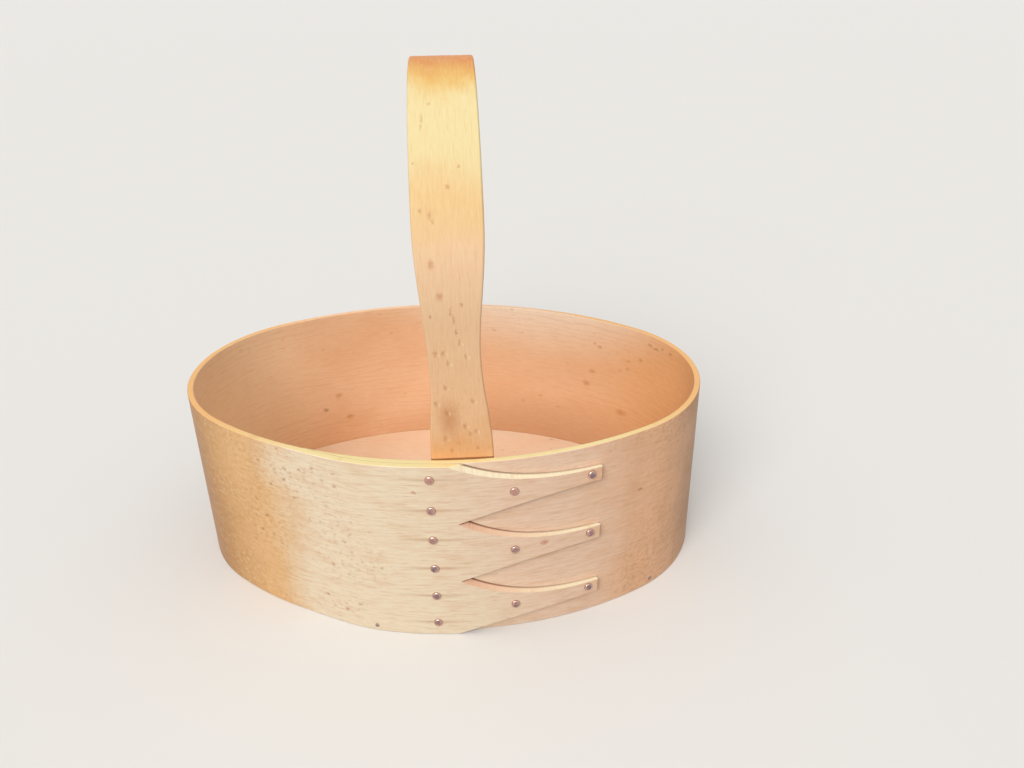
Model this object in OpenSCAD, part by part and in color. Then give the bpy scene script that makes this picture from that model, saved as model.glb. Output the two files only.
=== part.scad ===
// Oval bentwood carrier: a lapped band with swallowtail fingers, a fitted bottom board,
// a fixed hoop handle and copper tacks. Front is -Y, the bottom edge lies on z = 0.

/* [Carrier] */
// Length over the band
body_len = 292; // [260:1:340]
// Width over the band, away from the lap
body_wid = 203; // [190:1:224]
// Outside radius of the two round ends
end_r = 79.5; // [70:0.5:86]
// Height of the band
wall_h = 103.5; // [85:0.5:140]
// Thickness of the band
band_t = 3.3; // [2.5:0.1:4.5]
// Thickness of the bottom board
board_t = 7; // [5:0.5:12]
// Gap between the bottom board and the band
board_gap = 0.12; // [0.05:0.01:0.4]

/* [Lap and fingers] */
// Number of fingers
finger_n = 3; // [2:1:5]
// Where the valleys between the fingers begin, along the inside of the wall from front centre
valley_s = 17; // [10:0.5:30]
// Length of the fingers from the valley points to the tips
finger_len = 72; // [50:1:90]
// Width of a finger at its tip
tip_w = 7.4; // [5:0.2:10]
// Thickness of the band at the tips, planed down from its full thickness at the valleys
tip_t = 2.4; // [1.6:0.1:3.3]
// Height of the lowest tip's centre above the bottom edge
tip_low = 17.2; // [12:0.2:25]
// Depth of the highest tip's centre below the rim
tip_high = 15.5; // [12:0.2:25]
// Height of the lowest valley point above the bottom edge
valley_low = 1; // [0.5:0.1:6]
// Depth of the highest valley point below the rim
valley_high = 1.7; // [0.5:0.1:6]
// Bevel on the upper edges of the fingers at the valley points
bevel_up = 2.8; // [1:0.1:4]
// Bevel on the lower edges of the fingers at the valley points
bevel_down = 2.2; // [1:0.1:4]
// Length of the feathered inner end of the band
feather_len = 54; // [30:1:80]
// Distance from the feather's full thickness to the front centre
feather_s = 19; // [10:1:40]
// Thickness left at the feather's edge
feather_tip = 0.4; // [0.2:0.05:1]
// Gap between the two layers of the lap
lap_gap = 0.1; // [0.06:0.01:0.2]

/* [Handle] */
// Height of the top of the hoop above the bottom edge
handle_h = 273.5; // [230:0.5:320]
// Place of the front leg's foot, along the inside of the wall from front centre
leg_front_s = 20.5; // [10:0.5:30]
// How far the front leg leans to the left between the rim and the arch
leg_lean = 2; // [0:0.5:5]
// Place of the back leg to the left of the back centre, along the inside of the wall
leg_back_s = 5.5; // [-10:0.5:15]
// Thickness of the handle strip
handle_t = 3.4; // [2.5:0.1:5]
// Width of the strip over the top of the hoop
handle_w = 31.6; // [24:0.2:40]
// Width of the strip at the waist of each leg
waist_w = 24; // [18:0.5:30]
// Width of the strip at the rim and below
foot_w = 30; // [24:0.5:38]
// Height of the waist above the rim
waist_h = 50; // [35:1:60]
// Height of the shoulder, where the strip has its full width, above the waist
shoulder_h = 64; // [40:1:80]
// Radius of the eased edges of the strip
handle_ease = 1; // [0.5:0.1:1.2]
// Gap between the edges of the legs and the wall, and between their ends and the board
leg_gap = 0.15; // [0.05:0.05:0.4]

/* [Tacks and pins] */
// Number of tacks in the seam column
seam_n = 6; // [3:1:8]
// Place of the seam column, along the inside of the wall from front centre
seam_s = 4.8; // [0:0.2:10]
// Height of the lowest seam tack above the bottom edge
seam_low = 8.5; // [5:0.5:14]
// Depth of the highest seam tack below the rim
seam_high = 7.1; // [5:0.1:14]
// Distance of the middle finger tacks from the valley points
mid_tack_s = 27; // [20:0.5:40]
// Distance of the tip tacks from the finger tips
tip_tack_s = 6; // [4:0.5:10]
// How far the tacks in the fingers sit above the middle of their finger
tack_rise = 0.8; // [0:0.1:1.5]
// Head diameter of a tack
head_d = 4.5; // [3.5:0.1:5.5]
// Height of a tack's domed head
head_h = 1.2; // [0.4:0.1:1.6]
// Shank diameter of a tack
shank_d = 1.6; // [1:0.1:2]
// Diameter of the clinched end of a tack
clinch_d = 2.8; // [2.2:0.1:3.4]
// Thickness of the clinched end of a tack
clinch_t = 0.6; // [0.4:0.1:0.9]
// Number of pins round the bottom board
pin_n = 5; // [4:1:12]
// Place of the first pin, along the inside of the wall from front centre
pin_s = -27; // [-40:1:-10]
// Head diameter of a pin
pin_head_d = 2.2; // [1.8:0.1:3]
// Thickness of a pin's flat head
pin_head_t = 0.6; // [0.4:0.1:1]
// Shank diameter of a pin
pin_d = 1.4; // [1:0.1:1.8]
// Depth of a pin in the bottom board
pin_bite = 9; // [6:0.5:14]
// Wood left between the point of a handle tack and the outside of the wall
point_cover = 0.9; // [0.5:0.1:1.5]
// Clearance round a shank, and under a head
hole_gap = 0.06; // [0.03:0.01:0.15]

/* [Hidden] */
$fn = 48;
maple = "#dcb47e";
pale_maple = "#e6c79a";
copper = "#8f6a5c";
iron = "#4a3a32";
// Facets round a domed tack head
dome_fn = 96;
// Length of one flat on the curved walls
facet = 3;
// How far cuts run past the surface that they start from
over = 1;

// Oval of four arcs, drawn on the inside of the band
half_len = body_len / 2 - band_t;
half_wid = body_wid / 2 - band_t;
end_core = end_r - band_t;
end_c = half_len - end_core;
side_c = (end_c ^ 2 - (half_wid - end_core) ^ 2) / (2 * (half_wid - end_core));
side_core = half_wid + side_c;
side_angle = atan2(end_c, side_c);
rad = PI / 180;
side_arc = 2 * side_angle * rad * side_core;
end_arc = (180 - 2 * side_angle) * rad * end_core;
round_len = 2 * side_arc + 2 * end_arc;

// The four arcs, anticlockwise from the front: centre, radius, first heading, length
arcs = [
    [[0, side_c], side_core, -side_angle, side_arc],
    [[end_c, 0], end_core, side_angle, end_arc],
    [[0, -side_c], side_core, 180 - side_angle, side_arc],
    [[-end_c, 0], end_core, 180 + side_angle, end_arc]
];

// Place s along the inside of the wall, measured from the start of the front arc
function from_start(s) = let (x = s + side_arc / 2) x - round_len * floor(x / round_len);
function arc_at(x, i = 0) = i < 3 && x > arcs[i][3] ? arc_at(x - arcs[i][3], i + 1) : [i, x];
function heading(s) =
    let (at = arc_at(from_start(s)), arc = arcs[at[0]]) arc[2] + at[1] / arc[1] / rad;
// Point at place s, a distance d outside the inside face
function on_wall(s, d) =
    let (arc = arcs[arc_at(from_start(s))[0]], h = heading(s))
    arc[0] + (arc[1] + d) * [sin(h), -cos(h)];
function at_height(p, z) = [p[0], p[1], z];
function clamp(x) = min(1, max(0, x));
function mix(a, b, u) = a + (b - a) * u;
function ease(u) = (1 - cos(180 * clamp(u))) / 2;

// The outer layer climbs over the feathered inner end of the band
feather_s0 = -feather_s - feather_len;
lap_lift = band_t + lap_gap;
function lift(s) = lap_lift * ease((s - feather_s0) / feather_len);
feather_edge_s = feather_s0 + feather_len * acos(1 - 2 * (feather_tip + lap_gap) / lap_lift) / 180;
tip_s = valley_s + finger_len;
// Thickness of the outer layer at place s, thinner towards the finger tips
function layer_t(s) = mix(band_t, tip_t, clamp((s - valley_s) / finger_len));
// Outside of the wall at place s on the front: the lap, up to the finger tips
function outside(s) = s < tip_s ? lift(s) + layer_t(s) : band_t;

// Outline of the strip: once round from the feather's edge, then over it to the finger tips
first_turn = feather_s0 + round_len - feather_edge_s;
strip_len = tip_s + round_len - feather_edge_s;
strip_steps = ceil(strip_len / facet);
function strip_in(x) = x < first_turn ? 0 : lift(x + feather_edge_s - round_len);
function strip_out(x) =
    x < first_turn ? min(band_t, lift(x + feather_edge_s) - (x < feather_len ? lap_gap : 0))
                   : strip_in(x) + layer_t(x + feather_edge_s - round_len);
function strip_side(outer) = [
    for (i = [0 : strip_steps])
        let (x = strip_len * i / strip_steps)
        on_wall(x + feather_edge_s, outer ? strip_out(x) : strip_in(x))
];
function reversed(list) = [for (i = [len(list) - 1 : -1 : 0]) list[i]];

// Finger edges in place s and height z: u runs from the valley points to the tips
tip_pitch = (wall_h - tip_low - tip_high) / (finger_n - 1);
function tip_z(i) = tip_low + i * tip_pitch;
function valley_z(i) =
    i == 0 ? valley_low : i == finger_n ? wall_h - valley_high : (tip_z(i - 1) + tip_z(i)) / 2;
function upper_edge(i, u) = let (top = tip_z(i) + tip_w / 2) mix(top, valley_z(i + 1), (1 - u) ^ 3);
function lower_edge(i, u) = let (low = tip_z(i) - tip_w / 2) mix(low, valley_z(i), (1 - u) ^ 2);
function finger_middle(i, s) =
    let (u = (s - valley_s) / finger_len) (upper_edge(i, u) + lower_edge(i, u)) / 2;

// Section of the valley below finger i at u: its two walls slope in to the inner layer, or meet
// in a groove near the valley point, where groove is the narrowest floor
groove = 0.1;
// Least sum of the two slopes, for the square-cut end at the tips
square_cut = 0.001;
function valley_section(i, u) =
    let (
        s = valley_s + u * finger_len,
        floor_z = i == 0 ? -over : upper_edge(i - 1, u),
        roof_z = i == finger_n ? wall_h + over : lower_edge(i, u),
        middle = (floor_z + roof_z) / 2,
        wide = max(groove, roof_z - floor_z) / 2,
        slope_up = i == 0 ? 0 : bevel_up * clamp(1 - u),
        slope_down = i == finger_n ? 0 : bevel_down * clamp(1 - u),
        slopes = max(slope_up + slope_down, square_cut),
        deep = clamp((2 * wide - groove) / slopes),
        face = band_t + lap_lift,
        proud = over / band_t
    )
    [
        at_height(on_wall(s, face + over), middle - wide - slope_up * proud),
        at_height(on_wall(s, face + over), middle + wide + slope_down * proud),
        at_height(on_wall(s, face - deep * (band_t + lap_gap / 2)), middle + wide - slope_down * deep),
        at_height(on_wall(s, face - deep * (band_t + lap_gap / 2)), middle - wide + slope_up * deep)
    ];

// Solid through rings of points that all have the same number of points
module loft(rings) {
    m = len(rings[0]);
    last = len(rings) - 1;
    walls = [
        for (i = [0 : last - 1], j = [0 : m - 1])
            let (a = i * m + j, b = i * m + (j + 1) % m)
            each [[a, b, b + m], [a, b + m, a + m]]
    ];
    caps = [
        for (j = [1 : m - 2])
            each [[0, j + 1, j], [last * m, last * m + j, last * m + j + 1]]
    ];
    polyhedron([for (ring = rings) each ring], concat(walls, caps));
}

// A valley ends past the tips, and those at the rim and the bottom edge also start early. Its sections
// crowd towards the valley point, where the edges bend most
valley_steps = 20;
valley_crowding = 1.3;
valley_end = 1.04;
edge_start = -0.1;

module valley(i) {
    start = i == 0 || i == finger_n ? edge_start : 0;
    loft([
        for (k = [0 : valley_steps])
            valley_section(i, mix(start, valley_end, (k / valley_steps) ^ valley_crowding))
    ]);
}

// Places a child at s on the wall, d outside its inside face, with +Z pointing out of the wall
module stand_on_wall(s, d, z) {
    translate(at_height(on_wall(s, d), z)) rotate([90, 0, heading(s)]) children();
}

// Hole for a shank between two distances outside the inside face
module wall_hole(s, z, d0, d1, dia) {
    stand_on_wall(s, d0, z) cylinder(h = d1 - d0, d = dia + 2 * hole_gap);
}

// Domed head standing on z = 0
module dome() {
    dome_r = (head_d ^ 2 / 4 + head_h ^ 2) / (2 * head_h);
    intersection() {
        translate([0, 0, head_h - dome_r]) sphere(dome_r, $fn = dome_fn);
        cylinder(h = head_h, d = head_d);
    }
}

// Tack clinched flush in the inside face of the wall
module clinched_tack(s, z) {
    long = outside(s) + hole_gap;
    stand_on_wall(s, 0, z) {
        translate([0, 0, long]) dome();
        cylinder(h = long + head_h / 2, d = shank_d);
        cylinder(h = clinch_t, d = clinch_d);
    }
}

module clinched_hole(s, z) {
    wall_hole(s, z, -over, outside(s) + over, shank_d);
    wall_hole(s, z, -over, clinch_t + hole_gap, clinch_d);
}

// Places of the tacks as pairs of s and z
seam_pitch = (wall_h - seam_low - seam_high) / (seam_n - 1);
seam_places = [for (i = [0 : seam_n - 1]) [seam_s, seam_low + i * seam_pitch]];
function finger_places(s) = [for (i = [0 : finger_n - 1]) [s, finger_middle(i, s) + tack_rise]];
mid_places = finger_places(valley_s + mid_tack_s);
tip_places = finger_places(tip_s - tip_tack_s);
pin_places = [for (i = [0 : pin_n - 1]) pin_s + i * round_len / pin_n];

// Handle: two upright legs against the wall and an arch between them
leg_s = [leg_front_s, round_len / 2 + leg_back_s];
leg_sag = foot_w ^ 2 / 8 / side_core;
leg_d = -leg_sag - leg_gap;
arch_s = [leg_front_s - leg_lean, leg_s[1]];
arch_at = [for (s = arch_s) on_wall(s, leg_d)];
arch_turn = [heading(arch_s[0]), heading(arch_s[1]) - 180];
arch_r = norm(arch_at[0] - arch_at[1]) / 2;
spring_z = handle_h - arch_r;
leg_foot = board_t + leg_gap;
waist_z = wall_h + waist_h;
function strip_w(z) =
    z < wall_h ? foot_w
  : z < waist_z ? mix(foot_w, waist_w, ease((z - wall_h) / waist_h))
  : mix(waist_w, handle_w, ease((z - waist_z) / shoulder_h));
// Place of the front leg at height z
function front_s(z) = leg_front_s - leg_lean * ease((z - wall_h) / (spring_z - wall_h));

leg_steps = 18;
arch_steps = 40;
// Path of the strip's outside: share of the way from front to back, height, and climb angle
function leg_height(i) = mix(leg_foot, spring_z, i / leg_steps);
path = concat(
    [for (i = [0 : leg_steps - 1]) [0, leg_height(i), 0]],
    [for (i = [0 : arch_steps]) let (a = 180 * i / arch_steps)
        [(1 - cos(a)) / 2, spring_z + arch_r * sin(a), a]],
    [for (i = [leg_steps - 1 : -1 : 0]) [1, leg_height(i), 180]]
);

// Corner points of the strip's section, width w, thickness handle_t, with eased edges
function strip_section(w) = [
    for (corner = [0 : 3], k = [0 : 2])
        let (
            a = 90 * corner + 45 * k,
            cx = (corner == 0 || corner == 3 ? 1 : -1) * (w / 2 - handle_ease),
            cy = corner < 2 ? -handle_ease : handle_ease - handle_t
        )
        [cx + handle_ease * cos(a), cy + handle_ease * sin(a)]
];

function strip_ring(p) =
    let (
        front = p[0] == 0,
        plan = front ? on_wall(front_s(p[1]), leg_d) : mix(arch_at[0], arch_at[1], p[0]),
        turn = front ? heading(front_s(p[1])) : mix(arch_turn[0], arch_turn[1], p[0]),
        across = [cos(turn), sin(turn), 0],
        flat_out = [sin(turn), -cos(turn), 0],
        out = cos(p[2]) * flat_out + sin(p[2]) * [0, 0, 1]
    )
    [for (q = strip_section(strip_w(p[1]))) at_height(plan, p[1]) + q[0] * across + q[1] * out];

module handle_strip() {
    loft([for (p = path) strip_ring(p)]);
}

// Handle tacks run from inside the legs into the wall, one at the height of each finger tip
module leg_tack(s, z) {
    inside = leg_d - handle_t - hole_gap;
    point = outside(s) - point_cover;
    stand_on_wall(s, inside, z) {
        rotate([180, 0, 0]) dome();
        translate([0, 0, -head_h / 2]) cylinder(h = point - inside + head_h / 2, d = shank_d);
    }
}

module leg_tack_hole(s, z) {
    wall_hole(s, z, leg_d - handle_t - over, outside(s) - point_cover + hole_gap, shank_d);
}

module bottom_pin(s) {
    point = -board_gap - pin_bite;
    stand_on_wall(s, 0, board_t / 2) {
        translate([0, 0, outside(s) + hole_gap]) cylinder(h = pin_head_t, d = pin_head_d);
        translate([0, 0, point]) cylinder(h = outside(s) + hole_gap + pin_head_t / 2 - point, d = pin_d);
    }
}

module pin_holes() {
    for (s = pin_places)
        wall_hole(s, board_t / 2, -board_gap - pin_bite - hole_gap, outside(s) + over, pin_d);
}

module side_band() {
    color(maple) difference() {
        linear_extrude(wall_h) polygon(concat(strip_side(true), reversed(strip_side(false))));
        for (i = [0 : finger_n]) valley(i);
        for (p = concat(seam_places, mid_places, tip_places)) clinched_hole(p[0], p[1]);
        for (s = leg_s, i = [0 : finger_n - 1]) leg_tack_hole(s, tip_z(i));
        pin_holes();
    }
}

module bottom_board() {
    steps = ceil(round_len / facet);
    color(pale_maple) difference() {
        linear_extrude(board_t)
            polygon([for (i = [0 : steps - 1]) on_wall(round_len * i / steps, -board_gap)]);
        pin_holes();
    }
}

module handle() {
    color(pale_maple) difference() {
        handle_strip();
        for (s = leg_s, i = [0 : finger_n - 1]) leg_tack_hole(s, tip_z(i));
    }
}

module seam_tacks() {
    color(copper) for (p = seam_places) clinched_tack(p[0], p[1]);
}

module finger_middle_tacks() {
    color(copper) for (p = mid_places) clinched_tack(p[0], p[1]);
}

module finger_tip_tacks() {
    color(copper) for (p = tip_places) clinched_tack(p[0], p[1]);
}

module bottom_pins() {
    color(iron) for (s = pin_places) bottom_pin(s);
}

module handle_front_tacks() {
    color(copper) for (i = [0 : finger_n - 1]) leg_tack(leg_s[0], tip_z(i));
}

module handle_back_tacks() {
    color(copper) for (i = [0 : finger_n - 1]) leg_tack(leg_s[1], tip_z(i));
}

side_band();
bottom_board();
handle();
seam_tacks();
finger_middle_tacks();
finger_tip_tacks();
bottom_pins();
handle_front_tacks();
handle_back_tacks();
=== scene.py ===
# %% [markdown]
# # An oval bentwood carrier
# The real carrier is a thin maple band, steamed and bent round an oval form until it laps over
# itself at the front. The outer end of the lap is cut into swallowtail fingers and held with copper
# tacks, a board closes the bottom, and a bent hoop is the handle.
# The solids give every size and place. This lesson makes the pieces again with the finish that the
# solids lack, and it works as the maker does: each strip is sawn and cut flat, and only then bent,
# so the grain follows the bend.

# %% load the solids
import math
import random

import bmesh
import bpy
from mathutils import Matrix, Vector


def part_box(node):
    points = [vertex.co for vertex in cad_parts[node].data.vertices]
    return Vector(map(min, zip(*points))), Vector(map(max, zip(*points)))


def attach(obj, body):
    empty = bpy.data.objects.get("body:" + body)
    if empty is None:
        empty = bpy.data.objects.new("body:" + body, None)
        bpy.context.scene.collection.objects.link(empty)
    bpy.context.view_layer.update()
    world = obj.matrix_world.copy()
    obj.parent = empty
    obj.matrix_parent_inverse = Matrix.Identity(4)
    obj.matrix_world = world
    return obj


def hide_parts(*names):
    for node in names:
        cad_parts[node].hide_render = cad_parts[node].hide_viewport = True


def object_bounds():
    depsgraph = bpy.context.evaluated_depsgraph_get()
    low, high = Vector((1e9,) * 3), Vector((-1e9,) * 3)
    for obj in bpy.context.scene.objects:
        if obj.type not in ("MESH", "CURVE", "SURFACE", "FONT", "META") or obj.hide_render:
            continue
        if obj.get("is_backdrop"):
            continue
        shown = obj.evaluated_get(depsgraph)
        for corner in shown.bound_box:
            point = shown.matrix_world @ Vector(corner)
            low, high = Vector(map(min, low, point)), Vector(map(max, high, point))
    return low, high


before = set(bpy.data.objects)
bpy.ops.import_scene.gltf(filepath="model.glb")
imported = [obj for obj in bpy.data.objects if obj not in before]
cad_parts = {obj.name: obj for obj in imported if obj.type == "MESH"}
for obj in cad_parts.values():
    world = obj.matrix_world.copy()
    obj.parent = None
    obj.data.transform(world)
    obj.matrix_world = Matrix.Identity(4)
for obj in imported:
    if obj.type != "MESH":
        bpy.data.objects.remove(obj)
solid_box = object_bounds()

print("solids:", ", ".join(sorted(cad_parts)))

# %% [markdown]
# ## Sizes
# The outer sizes are read from the solids. Wall thickness, lap and fingers can't be read from a
# box, so they are written here in millimetres, as the maker would mark them out.

# %% sizes, in metres
MM = 0.001
band_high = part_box("side_band")[1]
wall_h = band_high.z
board_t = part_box("bottom_board")[1].z
hoop_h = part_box("handle")[1].z
band_t = 3.3 * MM
end_r = 79.5 * MM
print(f"band {band_high.x * 2 / MM:.1f} long, {band_high.y * 2 / MM:.1f} wide, {wall_h / MM:.1f} high")

# %% [markdown]
# ## The oval
# The form that the band is bent round is an oval of four arcs that meet without a kink: two wide
# ones for the long sides and two tight ones for the ends. A place on the wall is given by s, the
# distance round its inside from the front centre, d, the distance outside that, and the height.

# %% the oval
half_len = band_high.x - band_t
half_wid = band_high.y - band_t
end_core = end_r - band_t
end_c = half_len - end_core
side_c = (end_c ** 2 - (half_wid - end_core) ** 2) / (2 * (half_wid - end_core))
side_core = half_wid + side_c
side_angle = math.atan2(end_c, side_c)
side_arc = 2 * side_angle * side_core
end_arc = (math.pi - 2 * side_angle) * end_core
round_len = 2 * (side_arc + end_arc)
# The arcs anticlockwise from the front: centre, radius, first heading, length
ARCS = [
    (Vector((0, side_c)), side_core, -side_angle, side_arc),
    (Vector((end_c, 0)), end_core, side_angle, end_arc),
    (Vector((0, -side_c)), side_core, math.pi - side_angle, side_arc),
    (Vector((-end_c, 0)), end_core, math.pi + side_angle, end_arc),
]
rounding = 1e-9


def wall_arc(s):
    """Centre, radius and heading of the wall's inside at s."""
    along = (s + side_arc / 2) % round_len
    for centre, radius, heading, length in ARCS:
        if along <= length + rounding:
            return centre, radius, heading + along / radius
        along -= length


def on_wall(s, d, z=0):
    """The point at s, a distance d outside the wall's inside, at height z."""
    centre, radius, heading = wall_arc(s)
    flat = centre + (radius + d) * Vector((math.sin(heading), -math.cos(heading)))
    return Vector((flat.x, flat.y, z))


print(f"once round the inside: {round_len / MM:.1f} mm")

# %% [markdown]
# ## The lap
# The inner end of the band is planed to a feather, and the outer end climbs over it, so the box is
# round inside and shows only the fingers outside. The fingers are planed thinner towards their tips.

# %% the lap
feather_len = 54 * MM
feather_s = 19 * MM
feather_tip = 0.4 * MM
lap_gap = 0.1 * MM
lap_lift = band_t + lap_gap
lap_from = -feather_s - feather_len
valley_s = 17 * MM
finger_len = 72 * MM
tip_s = valley_s + finger_len
tip_t = 2.4 * MM
rim_ease = 0.45 * MM


def mix(a, b, share):
    return a + (b - a) * share


def clamp(x):
    return min(1, max(0, x))


def ease(u):
    """0 to 1 with a level start and end."""
    return (1 - math.cos(math.pi * clamp(u))) / 2


def lift(s):
    """How far the outer layer stands off the form at s."""
    return lap_lift * ease((s - lap_from) / feather_len)


def layer_t(s):
    """Thickness of the outer layer, which is planed thinner towards the finger tips."""
    return mix(band_t, tip_t, clamp((s - valley_s) / finger_len))


def outside(s):
    """How far the outside of the wall stands off the form at s, between the back and the tips."""
    return lift(s) + layer_t(s)


edge_share = math.acos(1 - 2 * (feather_tip + lap_gap) / lap_lift) / math.pi
strip_start = lap_from + feather_len * edge_share
strip_end = round_len + tip_s
print(f"the flat strip is {(strip_end - strip_start) / MM:.1f} mm long")

# %% [markdown]
# ## Tacks
# One column of tacks closes the lap, and each finger has a tack at its middle and one at its tip.
# Their places come before the finishes, because the old copper has stained the wood beside it.

# %% places of the tacks
seam_n = 6
seam_s = 4.8 * MM
seam_low = 8.5 * MM
seam_high = 7.1 * MM
seam_pitch = (wall_h - seam_low - seam_high) / (seam_n - 1)
finger_n = 3
tip_w = 7.4 * MM
tip_low = 17.2 * MM
tip_high = 15.5 * MM
valley_low = 1 * MM
valley_high = 1.7 * MM
middle_tack_s = valley_s + 27 * MM
tip_tack_s = tip_s - 6 * MM
tack_rise = 0.8 * MM


def tip_z(i):
    """Height of the middle of finger i's tip."""
    return mix(tip_low, wall_h - tip_high, i / (finger_n - 1))


def valley_z(i):
    """Height of the valley point below finger i."""
    if i == 0:
        return valley_low
    if i == finger_n:
        return wall_h - valley_high
    return (tip_z(i - 1) + tip_z(i)) / 2


def upper_edge(i, u):
    """Height of finger i's upper edge, u from 0 at the valley point to 1 at the tip."""
    return mix(tip_z(i) + tip_w / 2, valley_z(i + 1), (1 - u) ** 3)


def lower_edge(i, u):
    """Height of finger i's lower edge, u as above."""
    return mix(tip_z(i) - tip_w / 2, valley_z(i), (1 - u) ** 2)


def finger_places(s):
    """One place in each finger at s, a little above the finger's middle."""
    u = (s - valley_s) / finger_len
    return [(s, (upper_edge(i, u) + lower_edge(i, u)) / 2 + tack_rise) for i in range(finger_n)]


seam_places = [(seam_s, seam_low + i * seam_pitch) for i in range(seam_n)]
middle_places = finger_places(middle_tack_s)
tip_places = finger_places(tip_tack_s)
print("tacks in the lap:", len(seam_places + middle_places + tip_places))

# %% [markdown]
# ## The line of the handle
# The hoop is one strip: up the front wall from the board, over in a half circle and down the back
# wall. It stands a little askew and its front leg leans, as the legs were set by eye. Its length
# comes before the finishes too, because the tone is set along it: pale gold on the front shoulder is
# painted light, and deep orange at the top is painted shade.

# %% the line of the handle
leg_s = (20.5 * MM, round_len / 2 + 5.5 * MM)
leg_lean = 2 * MM
leg_gap = 0.15 * MM
handle_t = 3.4 * MM
grip_w = 31.6 * MM
waist_w = 24 * MM
foot_w = 30 * MM
waist_h = 50 * MM
shoulder_h = 64 * MM
leg_d = -foot_w ** 2 / 8 / side_core - leg_gap
arch_front = on_wall(leg_s[0] - leg_lean, leg_d)
across_hoop = on_wall(leg_s[1], leg_d) - arch_front
arch_r = across_hoop.length / 2
spring_z = hoop_h - arch_r
leg_foot = board_t + leg_gap
leg_len = spring_z - leg_foot
arch_len = math.pi * arch_r
handle_len = 2 * leg_len + arch_len
print(f"the flat handle is {handle_len / MM:.0f} mm long")

# %% [markdown]
# ## Finishes
# Every finish is built from nodes. Colours are written as sRGB hex values, as a paint chart gives
# them, and one function turns them to the linear values that shaders use. Another adds a node with
# its settings and links. Patterns are sized in millimetres of the real wood.

# %% helpers for finishes
def colour(hex_value):
    """Linear colour of an sRGB hex value."""
    parts = [int(hex_value[i:i + 2], 16) / 255 for i in (1, 3, 5)]
    linear = [c / 12.92 if c <= 0.04045 else ((c + 0.055) / 1.055) ** 2.4 for c in parts]
    return (*linear, 1)


def node(tree, kind, *inputs, out=0, **settings):
    """Add a node, set it, fill its inputs in order or by name with values or links, and return one output.

    A MapRange takes a value and where it gives 0 and 1, and perhaps what it gives instead of those."""
    made = tree.nodes.new("ShaderNode" + kind)
    for name, value in settings.items():
        setattr(made, name, value)
    named = inputs[0] if inputs and isinstance(inputs[0], dict) else dict(enumerate(inputs))
    for key, value in named.items():
        if isinstance(value, bpy.types.NodeSocket):
            tree.links.new(value, made.inputs[key])
        else:
            made.inputs[key].default_value = value
    return made.outputs[out] if made.outputs else None


# Wide enough that a pattern is the same all through a thin board
through = 4000


def cells(along, across):
    """Scale of a pattern whose cells have these sizes in millimetres along and across the grain."""
    return (1 / (along * MM), 1 / (through * MM), 1 / (across * MM))


def mottle(tree, place, sizes, detail=2, roughness=0.5, shift=0):
    """Noise with blots of these sizes in millimetres along and across the grain."""
    place = node(tree, "Mapping", {"Vector": place, "Location": (0, 0, shift), "Scale": cells(*sizes)})
    return node(tree, "TexNoise", {"Vector": place, "Scale": 1, "Detail": detail, "Roughness": roughness})


def new_finish(name):
    """An empty material and its node tree."""
    finish = bpy.data.materials.new(name)
    finish.use_nodes = True
    finish.node_tree.nodes.clear()
    return finish, finish.node_tree


print("finish helpers ready")

# %% [markdown]
# ## Sawn maple
# Maple is pale and close-grained. Flat-sawn it shows soft growth lines, short fine pores along the
# grain, and in bird's-eye wood small brown eyes in clusters, with a ripple that catches the light. A
# few functions draw that figure on the flat board: X runs along the grain, Y through the board and Z
# across it. Each strip carries those places as an attribute, so the figure bends with it.

# %% growth lines, grain and pores
turn = 2 * math.pi


def grain_parts(tree, place):
    """Growth lines, fine grain and pores, as outputs from 0 to 1."""
    # Growth lines: thin, about 4 mm apart, wandering over 110 mm of the length
    wander = mottle(tree, place, (110, 26), 3, 0.55)
    across = node(tree, "SeparateXYZ", place, out="Z")
    waves = node(tree, "Math", across, turn / (4 * MM), operation="MULTIPLY")
    waves = node(tree, "Math", wander, 5 * turn, waves, operation="MULTIPLY_ADD")
    waves = node(tree, "Math", waves, operation="SINE")
    lines = node(tree, "MapRange", waves, 0.6, 1)
    shown = node(tree, "MapRange", wander, 0.42, 0.6)
    line = node(tree, "Math", lines, shown, operation="MULTIPLY")
    # Fine grain: streaks about 9 mm long and under a millimetre wide, warm between pale ones
    fine = mottle(tree, place, (9, 0.9), 4, 0.65)
    warm = node(tree, "MapRange", fine, 0.48, 0.72)
    pale = node(tree, "MapRange", fine, 0.5, 0.28)
    # Pores: dashes about 8 mm long and half a millimetre wide, coarser than life so that they show
    dashes = mottle(tree, place, (10, 0.8), shift=3)
    pore = node(tree, "MapRange", dashes, 0.57, 0.74)
    return {"line": line, "fine": fine, "warm": warm, "pale": pale, "pore": pore}


print("growth lines, grain and pores ready")

# %% [markdown]
# ## Eyes
# A bird's eye is a small dimple in the growth rings that the saw has cut across. They could be set
# one by one, but there are hundreds, so a Voronoi pattern gives each its cell and a number drawn for
# the cell says whether it has one. They gather in clusters. The few large marks are listed.

# %% eyes
def blots(tree, place, spots, core=0):
    """1 in the core of oval spots, fading to 0 at their edges.

    A spot is its place along and across the grain, its length and its width, in millimetres."""
    shade = 0
    for spot in spots:
        along, across, length, width = [size * MM for size in spot]
        away = node(tree, "VectorMath", place, (along, 0, across), operation="SUBTRACT")
        away = node(tree, "VectorMath", away, (2 / length, 0, 2 / width), operation="MULTIPLY")
        away = node(tree, "VectorMath", away, out="Value", operation="LENGTH")
        away = node(tree, "MapRange", away, 1, core, interpolation_type="SMOOTHSTEP")
        shade = node(tree, "Math", shade, away, operation="MAXIMUM")
    return shade


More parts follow.
